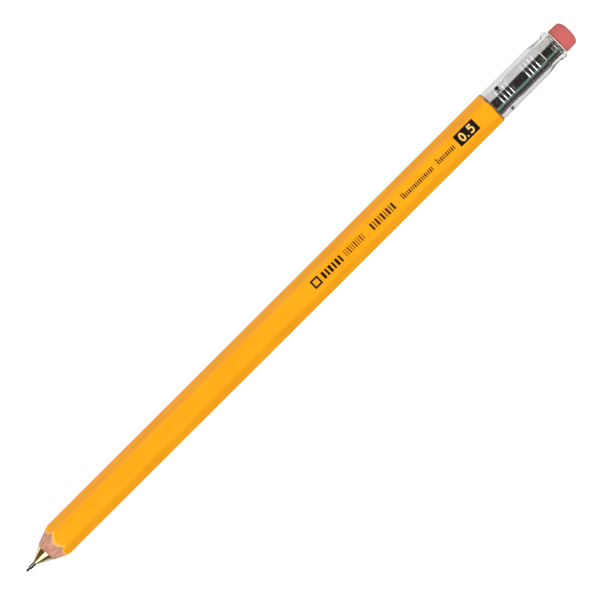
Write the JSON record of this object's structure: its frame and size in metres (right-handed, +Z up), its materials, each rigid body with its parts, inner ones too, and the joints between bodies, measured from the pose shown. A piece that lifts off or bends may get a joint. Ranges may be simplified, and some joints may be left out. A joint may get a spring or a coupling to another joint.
{
  "type": "mechanical pencil",
  "caption": "Mechanical pencil with a lacquered hexagonal wooden barrel, brass nose cone, clear rear sleeve and a ferrule with an eraser as its push button.",
  "frame": {"origin": "halfway along the pencil's length, under its axis, at the height of its lowest point (the clear sleeve)", "axes": "+X along the pencil towards the eraser, -X towards the lead, +Y across two corners of the hexagon, +Z up from the flat that the pencil lies on"},
  "size_m": [0.173, 0.0082, 0.0079],
  "materials": {
    "lacquered_wood": "gloss yellow lacquer over pale wood, bare wood at the nose",
    "brass": "polished",
    "pipe_steel": "drawn",
    "bright_metal": "polished",
    "spring_steel": "drawn wire",
    "clear_plastic": "clear, polished",
    "white_plastic": "moulded",
    "retainer_rubber": "moulded",
    "eraser_rubber": "matt pink eraser",
    "graphite": "polished graphite"
  },
  "bodies": {
    "barrel": {"slat_upper": "lacquered_wood", "slat_lower": "lacquered_wood", "front_insert": "brass", "chuck_housing": "brass", "clear_sleeve": "clear_plastic", "sleeve_pins": "pipe_steel", "return_spring": "spring_steel"},
    "nose_carrier": {"lead_retainer": "retainer_rubber"},
    "nose": {"nose_cone": "brass", "guide_pipe": "pipe_steel"},
    "button": {"ferrule": "bright_metal", "button_core": "white_plastic", "lead_tube": "white_plastic", "chuck_stem": "brass", "spare_leads": "graphite"},
    "clutch": {"clutch_ring": "brass"},
    "jaw_1": {"jaw_1": "brass"},
    "jaw_2": {"jaw_2": "brass"},
    "jaw_3": {"jaw_3": "brass"},
    "lead": {"writing_lead": "graphite"},
    "eraser": {"eraser": "eraser_rubber"}
  },
  "joints": [
    {"name": "button_press", "type": "slide", "parent": "barrel", "child": "button", "axis": [-1, 0, 0], "range_m": [0, 0.002], "stiffness_N_per_m": 300, "springref_m": -0.012, "deforming": ["return_spring"]},
    {"name": "clutch_slide", "type": "slide", "parent": "barrel", "child": "clutch", "axis": [-1, 0, 0], "range_m": [-0.0001, 0.0009]},
    {"name": "jaw_1_open", "type": "hinge", "parent": "button", "child": "jaw_1", "pos_m": [-0.07053, 0, 0.00344], "axis": [0, -1, 0], "range_deg": [-0.05, 1.25]},
    {"name": "jaw_2_open", "type": "hinge", "parent": "button", "child": "jaw_2", "pos_m": [-0.07053, 0.00042, 0.00417], "axis": [0, 0.5, -0.866], "range_deg": [-0.05, 1.25]},
    {"name": "jaw_3_open", "type": "hinge", "parent": "button", "child": "jaw_3", "pos_m": [-0.07053, -0.00042, 0.00417], "axis": [0, 0.5, 0.866], "range_deg": [-0.05, 1.25]},
    {"name": "lead_feed", "type": "slide", "parent": "barrel", "child": "lead", "axis": [-1, 0, 0], "range_m": [-0.00095, 0.005]},
    {"name": "eraser_pull", "type": "slide", "parent": "button", "child": "eraser", "axis": [1, 0, 0], "range_m": [0, 0.008]},
    {"name": "nose_travel", "type": "slide", "parent": "barrel", "child": "nose_carrier", "axis": [-1, 0, 0], "range_m": [0, 0.004]},
    {"name": "nose_turn", "type": "hinge", "parent": "nose_carrier", "child": "nose", "pos_m": [-0.08038, 0, 0.00393], "axis": [-1, 0, 0], "range_deg": [-5, 2885]}
  ],
  "couplings": [
    {"joint": "clutch_slide", "follows": "button_press", "ratio": 0.4},
    {"joint": "jaw_1_open", "follows": "button_press", "rad_per_m": 10.472},
    {"joint": "jaw_2_open", "follows": "button_press", "rad_per_m": 10.472},
    {"joint": "jaw_3_open", "follows": "button_press", "rad_per_m": 10.472},
    {"joint": "nose_turn", "follows": "nose_travel", "rad_per_m": 12566}
  ]
}
